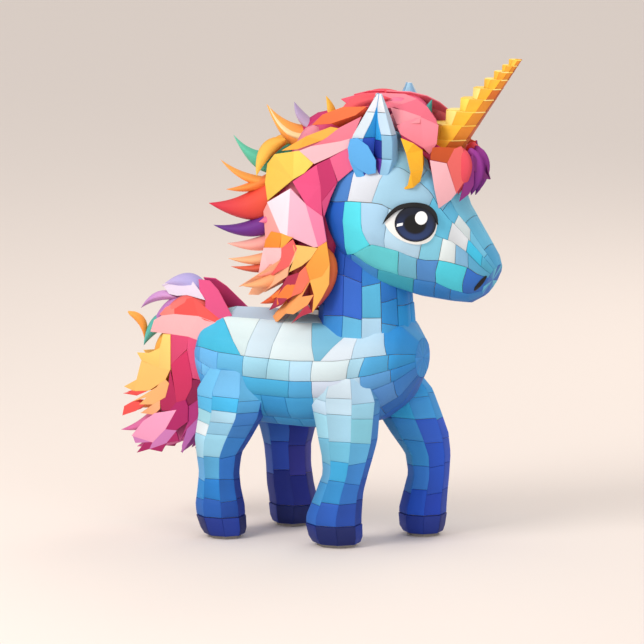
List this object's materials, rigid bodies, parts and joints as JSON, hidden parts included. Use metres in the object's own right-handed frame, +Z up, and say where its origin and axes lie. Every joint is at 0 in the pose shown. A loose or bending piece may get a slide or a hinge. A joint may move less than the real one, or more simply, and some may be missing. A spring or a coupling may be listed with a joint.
{
  "type": "unicorn pinata",
  "caption": "Standing unicorn pinata of moulded paper shells faced with card tiles, with curled paper mane and tail, a fill hatch in its flank and a ring to hang it by.",
  "frame": {"origin": "on the floor, under the middle of the whole figure from tail to horn", "axes": "+X is the way the unicorn faces, -Y is its right side, +Z is up"},
  "size_m": [0.4314, 0.1296, 0.4964],
  "materials": {
    "moulded_pulp": "moulded paper pulp, matt, slightly rough",
    "grey_board": "rolled grey board",
    "sole_board": "thick dyed board",
    "card_ice": "matt tinted card tiles",
    "card_sky": "matt tinted card tiles",
    "card_azure": "matt tinted card tiles",
    "card_blue": "matt tinted card tiles",
    "card_navy": "laminated board blocks faced with navy card",
    "card_gold": "matt gold and amber card steps",
    "card_amber": "matt amber card",
    "card_ear": "matt tinted card",
    "card_cobalt": "matt dark blue card",
    "card_white": "matt white card",
    "card_midnight": "smooth dark blue card",
    "card_black": "matt black card",
    "hair_orange": "curled card locks",
    "hair_coral": "curled card locks",
    "hair_rose": "creased card panels and curled locks",
    "hair_pink": "curled card locks",
    "hair_magenta": "curled card locks",
    "hair_blush": "curled card locks",
    "paper_tape": "crepe paper tape",
    "seal_paper": "self-adhesive paper disc",
    "steel_clip": "folded and tumbled sheet",
    "steel_ring": "stamped and polished",
    "brass_fastener": "domed heads"
  },
  "bodies": {
    "pinata_body": {"torso_shell_right": "moulded_pulp", "torso_shell_left": "moulded_pulp", "neck_shell": "moulded_pulp", "head_shell_right": "moulded_pulp", "head_shell_left": "moulded_pulp", "leg_rear_right_shell": "moulded_pulp", "leg_rear_right_facing": "card_blue", "leg_front_right_shell": "moulded_pulp", "leg_front_right_facing": "card_blue", "leg_front_left_shell": "moulded_pulp", "leg_front_left_facing": "card_blue", "leg_rear_left_shell": "moulded_pulp", "leg_rear_left_facing": "card_blue", "hoof_rear_right": "card_navy", "sole_rear_right": "sole_board", "hoof_front_right": "card_navy", "sole_front_right": "sole_board", "hoof_front_left": "card_navy", "sole_front_left": "sole_board", "hoof_rear_left": "card_navy", "sole_rear_left": "sole_board", "torso_facing_right": "card_ice", "torso_facing_left": "card_ice", "head_facing_right": "card_sky", "head_facing_left": "card_sky", "neck_facing": "card_azure", "tape_fixed": "paper_tape", "hanger_plate": "grey_board", "hanger_clip": "steel_clip", "hanger_pin": "steel_clip", "hanger_fasteners": "brass_fastener", "horn_cone": "grey_board", "horn_facing": "card_gold", "horn_collar": "card_amber", "ear_right": "card_ear", "ear_left": "card_ear", "ear_liner_right": "card_cobalt", "ear_liner_left": "card_cobalt", "eye_whites": "card_white", "eye_highlights": "card_white", "irises": "card_midnight", "eyelashes": "card_black", "nostrils": "card_black", "mane_middle": "hair_orange", "mane_inner_right": "hair_coral", "mane_inner_left": "hair_coral", "mane_outer_right": "hair_rose", "mane_outer_left": "hair_rose", "mane_crown": "hair_pink", "forelock": "hair_pink", "tail_stub": "grey_board", "tail_middle": "hair_magenta", "tail_right": "hair_blush", "tail_left": "hair_blush"},
    "fill_hatch": {"hatch_flap": "moulded_pulp", "hatch_facing": "card_ice", "tape_moving": "paper_tape", "closing_seal": "seal_paper"},
    "hang_ring": {"hanging_ring": "steel_ring"}
  },
  "joints": [
    {"name": "hatch_hinge", "type": "hinge", "parent": "pinata_body", "child": "fill_hatch", "pos_m": [-0.005, 0.0528, 0.196], "axis": [1, 0, 0], "range_deg": [0, 95]},
    {"name": "ring_pivot", "type": "hinge", "parent": "pinata_body", "child": "hang_ring", "pos_m": [-0.008, 0, 0.2338], "axis": [0, 1, 0], "range_deg": [0, 100]}
  ]
}
